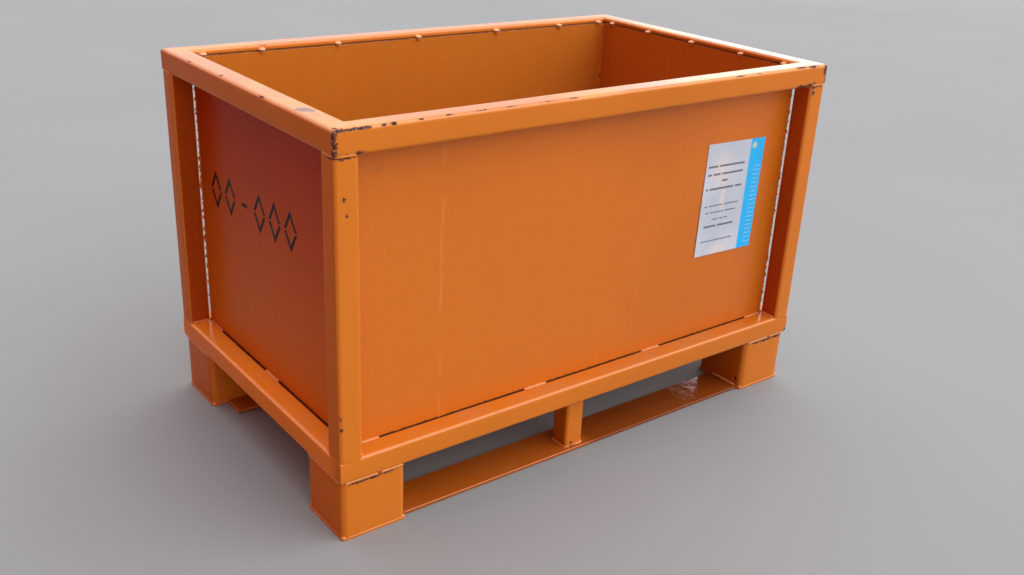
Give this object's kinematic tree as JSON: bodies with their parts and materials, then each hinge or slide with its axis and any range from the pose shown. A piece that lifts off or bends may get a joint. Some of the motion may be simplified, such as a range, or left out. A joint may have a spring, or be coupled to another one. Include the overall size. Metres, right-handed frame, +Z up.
{
  "type": "welded steel recycling stillage",
  "caption": "Open-topped welded steel bin in a square-tube frame on four box legs, with closed fork pockets under its long sides.",
  "frame": {"origin": "on the ground below the middle of the bin's outline", "axes": "+X along the long side to the right as seen from the labelled front, +Y from the front to the back, +Z up"},
  "size_m": [1.41, 0.85, 0.895],
  "materials": {
    "frame_paint": "orange gloss paint over steel tube, chipped at the corners",
    "sheet_paint": "orange semi-gloss paint over steel sheet, faint run marks",
    "label_film": "silver-grey printed film with a blue band"
  },
  "bodies": {
    "root": {"bottom_rail_back": "frame_paint", "bottom_rail_front": "frame_paint", "bottom_rail_left": "frame_paint", "bottom_rail_right": "frame_paint", "corner_post_back_left": "frame_paint", "corner_post_back_right": "frame_paint", "corner_post_front_left": "frame_paint", "corner_post_front_right": "frame_paint", "floor_bearer_centre": "frame_paint", "floor_bearer_left": "frame_paint", "floor_bearer_right": "frame_paint", "floor_sheet": "sheet_paint", "foot_plate_back_left": "frame_paint", "foot_plate_back_right": "frame_paint", "foot_plate_front_left": "frame_paint", "foot_plate_front_right": "frame_paint", "front_centre_post": "frame_paint", "front_skid": "frame_paint", "label": "label_film", "leg_back_left": "frame_paint", "leg_back_right": "frame_paint", "leg_cap_back_left": "frame_paint", "leg_cap_back_right": "frame_paint", "leg_cap_front_left": "frame_paint", "leg_cap_front_right": "frame_paint", "leg_front_left": "frame_paint", "leg_front_right": "frame_paint", "panel_back": "sheet_paint", "panel_front": "sheet_paint", "panel_left": "sheet_paint", "panel_right": "sheet_paint", "rear_centre_post": "frame_paint", "rear_skid": "frame_paint", "top_rail_back": "frame_paint", "top_rail_front": "frame_paint", "top_rail_left": "frame_paint", "top_rail_right": "frame_paint"}
  },
  "joints": []
}
